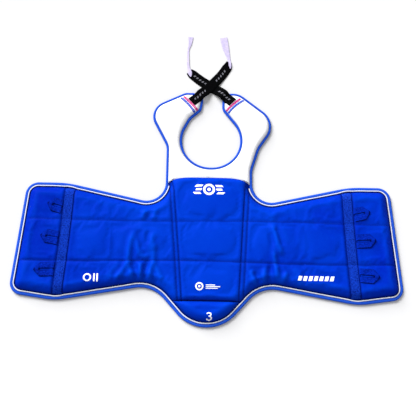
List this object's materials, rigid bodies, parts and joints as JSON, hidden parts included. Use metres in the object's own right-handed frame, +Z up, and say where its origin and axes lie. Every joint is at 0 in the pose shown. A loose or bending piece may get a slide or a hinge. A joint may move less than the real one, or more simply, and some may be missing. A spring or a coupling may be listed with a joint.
{
  "type": "martial arts chest protector",
  "caption": "Padded torso guard laid flat: wide quilted wings, white yoke with neck opening, belly flap, side tapes with lacing loops and crossed shoulder straps.",
  "frame": {"origin": "middle of the part's footprint, on the surface that it lies on", "axes": "+X across the wings, +Y from the belly to the shoulders, +Z up out of the padded front"},
  "size_m": [0.9324, 0.755, 0.0238],
  "materials": {
    "blue_cover": "smooth semi-matt polyurethane leather",
    "white_cover": "smooth semi-matt polyurethane leather",
    "rear_lining": "plain woven lining",
    "foam": "closed-cell foam sheet",
    "blue_binding": "ribbed woven binding tape",
    "white_piping": "smooth cord-filled piping",
    "blue_webbing": "woven flat webbing",
    "black_elastic": "woven elastic",
    "white_cotton": "light woven tape",
    "red_ribbon": "woven ribbon",
    "blue_ribbon": "woven ribbon"
  },
  "bodies": {
    "chest": {"front_panel_centre": "blue_cover", "front_panel_flank_left": "blue_cover", "front_panel_flank_right": "blue_cover", "front_cover_yoke": "white_cover", "rear_cover_chest": "rear_lining", "foam_core_chest": "foam", "foam_core_yoke": "foam", "edge_binding_chest": "blue_binding", "white_piping_chest": "white_piping"},
    "side_left": {"edge_binding_side_left": "blue_binding", "foam_core_side_left": "foam", "front_cover_side_left": "blue_cover", "rear_cover_side_left": "rear_lining", "white_piping_side_left": "white_piping"},
    "end_left": {"edge_binding_end_left": "blue_binding", "foam_core_end_left": "foam", "front_cover_end_left": "blue_cover", "rear_cover_end_left": "rear_lining", "white_piping_end_left": "white_piping", "webbing_tape_left": "blue_webbing"},
    "side_right": {"edge_binding_side_right": "blue_binding", "foam_core_side_right": "foam", "front_cover_side_right": "blue_cover", "rear_cover_side_right": "rear_lining", "white_piping_side_right": "white_piping"},
    "end_right": {"edge_binding_end_right": "blue_binding", "foam_core_end_right": "foam", "front_cover_end_right": "blue_cover", "rear_cover_end_right": "rear_lining", "white_piping_end_right": "white_piping", "webbing_tape_right": "blue_webbing"},
    "belly": {"edge_binding_belly": "blue_binding", "foam_core_belly": "foam", "front_cover_belly": "blue_cover", "rear_cover_belly": "rear_lining", "white_piping_belly": "white_piping"},
    "shoulder_left": {"edge_binding_shoulder_left": "blue_binding", "foam_core_shoulder_left": "foam", "front_cover_shoulder_left": "white_cover", "rear_cover_shoulder_left": "rear_lining", "red_stripe_left": "red_ribbon", "blue_stripe_left": "blue_ribbon", "strap_sewn_end_left": "black_elastic"},
    "strap_left": {"elastic_strap_left": "black_elastic", "cotton_tie_left": "white_cotton"},
    "shoulder_right": {"edge_binding_shoulder_right": "blue_binding", "foam_core_shoulder_right": "foam", "front_cover_shoulder_right": "white_cover", "rear_cover_shoulder_right": "rear_lining", "red_stripe_right": "red_ribbon", "blue_stripe_right": "blue_ribbon", "strap_sewn_end_right": "black_elastic"},
    "strap_right": {"elastic_strap_right": "black_elastic", "cotton_tie_right": "white_cotton"},
    "loop_left_upper": {"lacing_loop_left_upper": "blue_webbing"},
    "loop_left_middle": {"lacing_loop_left_middle": "blue_webbing"},
    "loop_left_lower": {"lacing_loop_left_lower": "blue_webbing"},
    "loop_right_upper": {"lacing_loop_right_upper": "blue_webbing"},
    "loop_right_middle": {"lacing_loop_right_middle": "blue_webbing"},
    "loop_right_lower": {"lacing_loop_right_lower": "blue_webbing"}
  },
  "joints": [
    {"name": "side_left_fold", "type": "hinge", "parent": "chest", "child": "side_left", "pos_m": [-0.165, -0.1765, 0.021], "axis": [0, 1, 0], "range_deg": [0, 70]},
    {"name": "end_left_fold", "type": "hinge", "parent": "side_left", "child": "end_left", "pos_m": [-0.3, -0.1765, 0.021], "axis": [0, 1, 0], "range_deg": [0, 75]},
    {"name": "side_right_fold", "type": "hinge", "parent": "chest", "child": "side_right", "pos_m": [0.165, -0.1765, 0.021], "axis": [0, -1, 0], "range_deg": [0, 70]},
    {"name": "end_right_fold", "type": "hinge", "parent": "side_right", "child": "end_right", "pos_m": [0.3, -0.1765, 0.021], "axis": [0, -1, 0], "range_deg": [0, 75]},
    {"name": "belly_fold", "type": "hinge", "parent": "chest", "child": "belly", "pos_m": [0, -0.3165, 0.0085], "axis": [-1, 0, 0], "range_deg": [0, 60]},
    {"name": "shoulder_left_fold", "type": "hinge", "parent": "chest", "child": "shoulder_left", "pos_m": [-0.105, 0.1235, 0.013], "axis": [1, 0, 0], "range_deg": [0, 80]},
    {"name": "shoulder_right_fold", "type": "hinge", "parent": "chest", "child": "shoulder_right", "pos_m": [0.105, 0.1235, 0.013], "axis": [1, 0, 0], "range_deg": [0, 80]},
    {"name": "strap_left_lift", "type": "hinge", "parent": "shoulder_left", "child": "strap_left", "pos_m": [-0.03, 0.2075, 0.0146], "axis": [1, 0, 0], "range_deg": [0, 60]},
    {"name": "strap_right_lift", "type": "hinge", "parent": "shoulder_right", "child": "strap_right", "pos_m": [0.03, 0.2075, 0.0146], "axis": [1, 0, 0], "range_deg": [0, 60]},
    {"name": "loop_left_upper_flip", "type": "hinge", "parent": "end_left", "child": "loop_left_upper", "pos_m": [-0.35201, -0.0965, 0.0238], "axis": [0.0569, 0.9984, 0], "range_deg": [0, 110]},
    {"name": "loop_left_middle_flip", "type": "hinge", "parent": "end_left", "child": "loop_left_middle", "pos_m": [-0.35639, -0.1735, 0.0238], "axis": [0.0569, 0.9984, 0], "range_deg": [0, 110]},
    {"name": "loop_left_lower_flip", "type": "hinge", "parent": "end_left", "child": "loop_left_lower", "pos_m": [-0.36067, -0.2485, 0.0238], "axis": [0.0569, 0.9984, 0], "range_deg": [0, 110]},
    {"name": "loop_right_upper_flip", "type": "hinge", "parent": "end_right", "child": "loop_right_upper", "pos_m": [0.35246, -0.1045, 0.0238], "axis": [0.0569, -0.9984, 0], "range_deg": [0, 110]},
    {"name": "loop_right_middle_flip", "type": "hinge", "parent": "end_right", "child": "loop_right_middle", "pos_m": [0.35617, -0.1695, 0.0238], "axis": [0.0569, -0.9984, 0], "range_deg": [0, 110]},
    {"name": "loop_right_lower_flip", "type": "hinge", "parent": "end_right", "child": "loop_right_lower", "pos_m": [0.36084, -0.2515, 0.0238], "axis": [0.0569, -0.9984, 0], "range_deg": [0, 110]}
  ],
  "couplings": [
    {"joint": "shoulder_right_fold", "follows": "shoulder_left_fold", "ratio": 1},
    {"joint": "strap_right_lift", "follows": "strap_left_lift", "ratio": 1}
  ]
}
